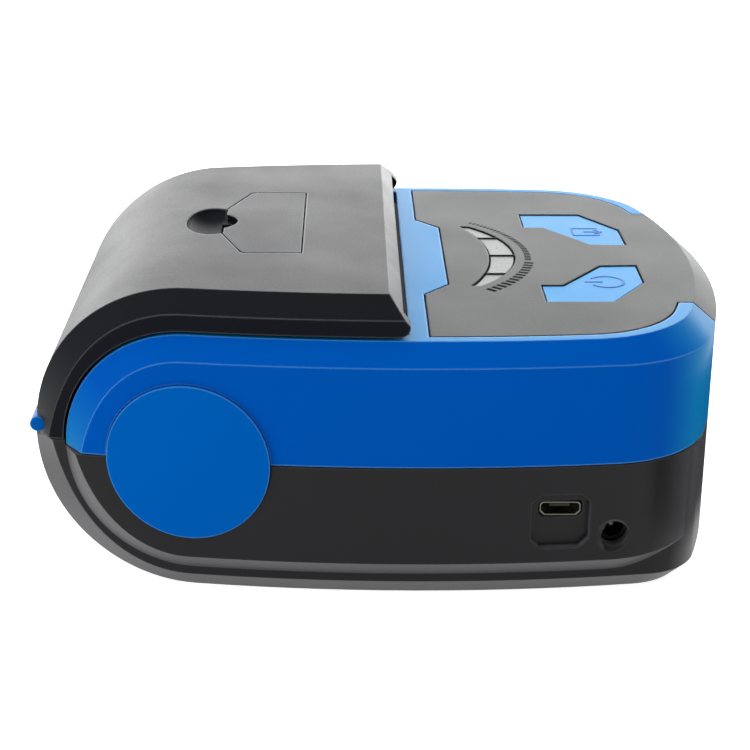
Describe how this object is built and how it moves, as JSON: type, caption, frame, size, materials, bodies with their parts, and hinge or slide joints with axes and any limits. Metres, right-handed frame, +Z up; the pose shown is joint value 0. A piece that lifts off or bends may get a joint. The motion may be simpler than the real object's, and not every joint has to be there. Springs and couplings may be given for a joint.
{
  "type": "portable receipt printer",
  "caption": "Portable receipt printer: a rear-hinged cover with a release flap over a drop-in paper bay, a platen on the cover's lip, keys on the deck, sockets on one side.",
  "frame": {"origin": "on the surface that the printer rests on, under the middle of its overall length and width", "axes": "+X from the hinge towards the keypad end, +Y to the side without sockets, +Z up"},
  "size_m": [0.135, 0.11, 0.06],
  "materials": {
    "base_black": "fine satin black",
    "shell_blue": "smooth blue",
    "cover_dark": "smooth dark grey",
    "panel_grey": "smooth dark grey",
    "key_blue": "smooth blue",
    "window_clear": "frosted clear",
    "steel": "plain",
    "dark_steel": "dark",
    "bracket_steel": "dark",
    "aluminium": "plain",
    "ceramic": "glazed",
    "platen_rubber": "matt",
    "bush_plastic": "plain",
    "gear_plastic": "plain",
    "motor_metal": "plain",
    "bin_black": "plain black",
    "board_green": "lacquered",
    "chip_black": "plain",
    "radio_can": "tinned",
    "switch_black": "plain",
    "light_clear": "clear",
    "ribbon": "flexible film",
    "pack_grey": "wrapped",
    "contact_brass": "plated"
  },
  "bodies": {
    "case": {"base_shell": "base_black", "upper_shell": "shell_blue", "side_disc_left": "shell_blue", "side_disc_right": "shell_blue", "hinge_knuckle_left": "shell_blue", "hinge_knuckle_right": "shell_blue", "keypad_panel": "panel_grey", "status_light_guide": "window_clear", "hinge_pin": "steel", "mechanism_frame": "steel", "head_pivot_rod": "steel", "idler_axle": "steel", "usb_shell": "steel", "dc_pin": "steel", "case_screws": "steel", "mechanism_screws": "steel", "board_screws": "steel", "key_screws": "steel", "tear_bar": "dark_steel", "stepper_motor": "motor_metal", "paper_bin": "bin_black", "cover_switch": "bin_black", "paper_sensor": "bin_black", "buzzer": "bin_black", "dc_jack": "bin_black", "usb_tongue": "bin_black", "main_board": "board_green", "key_board": "board_green", "control_chip": "chip_black", "radio_module": "radio_can", "tact_switches": "switch_black", "status_lights": "light_clear", "head_ribbon": "ribbon", "key_ribbon": "ribbon", "battery_pack": "pack_grey", "battery_contacts": "contact_brass"},
    "cover": {"top_cover": "cover_dark", "platen_bracket": "bracket_steel", "latch_pin": "steel", "latch_spring": "steel", "platen_bush_left": "bush_plastic", "platen_bush_right": "bush_plastic"},
    "latch": {"latch_lever": "cover_dark"},
    "power_key": {"power_button": "key_blue"},
    "feed_key": {"feed_button": "key_blue"},
    "platen": {"platen_shaft": "steel", "platen_rubber": "platen_rubber", "platen_gear": "gear_plastic"},
    "idler": {"idler_gear": "gear_plastic"},
    "pinion": {"motor_shaft": "steel", "motor_pinion": "gear_plastic"},
    "head": {"head_heatsink": "aluminium", "thermal_head": "ceramic", "head_spring_left": "steel", "head_spring_right": "steel"},
    "battery_lid": {"battery_door": "bin_black"}
  },
  "joints": [
    {"name": "cover_hinge", "type": "hinge", "parent": "case", "child": "cover", "pos_m": [-0.06595, 0, 0.0312], "axis": [0, -1, 0], "range_deg": [0, 95]},
    {"name": "latch_pivot", "type": "hinge", "parent": "cover", "child": "latch", "pos_m": [-0.01755, 0, 0.0583], "axis": [0, 1, 0], "range_deg": [0, 35], "stiffness_Nm_per_rad": 0.004, "springref_deg": -5.73},
    {"name": "power_key_press", "type": "slide", "parent": "case", "child": "power_key", "axis": [0, 0, -1], "range_m": [0, 0.0005], "stiffness_N_per_m": 1500},
    {"name": "feed_key_press", "type": "slide", "parent": "case", "child": "feed_key", "axis": [0, 0, -1], "range_m": [0, 0.0005], "stiffness_N_per_m": 1500},
    {"name": "platen_spin", "type": "hinge", "parent": "cover", "child": "platen", "pos_m": [-0.00085, 0, 0.0469], "axis": [0, 1, 0], "continuous": true},
    {"name": "idler_spin", "type": "hinge", "parent": "case", "child": "idler", "pos_m": [0.00217, 0.045, 0.03477], "axis": [0, 1, 0], "continuous": true},
    {"name": "pinion_spin", "type": "hinge", "parent": "case", "child": "pinion", "pos_m": [-0.00046, 0.045, 0.02461], "axis": [0, 1, 0], "continuous": true},
    {"name": "head_rock", "type": "hinge", "parent": "case", "child": "head", "pos_m": [0.00705, 0, 0.0334], "axis": [0, 1, 0], "range_deg": [0, 1], "stiffness_Nm_per_rad": 0.256},
    {"name": "battery_door_hinge", "type": "hinge", "parent": "case", "child": "battery_lid", "pos_m": [0.01975, 0, 0.0013], "axis": [0, 1, 0], "range_deg": [0, 60]}
  ],
  "couplings": [
    {"joint": "idler_spin", "follows": "platen_spin", "ratio": -0.66667},
    {"joint": "pinion_spin", "follows": "platen_spin", "ratio": 1.6667}
  ]
}
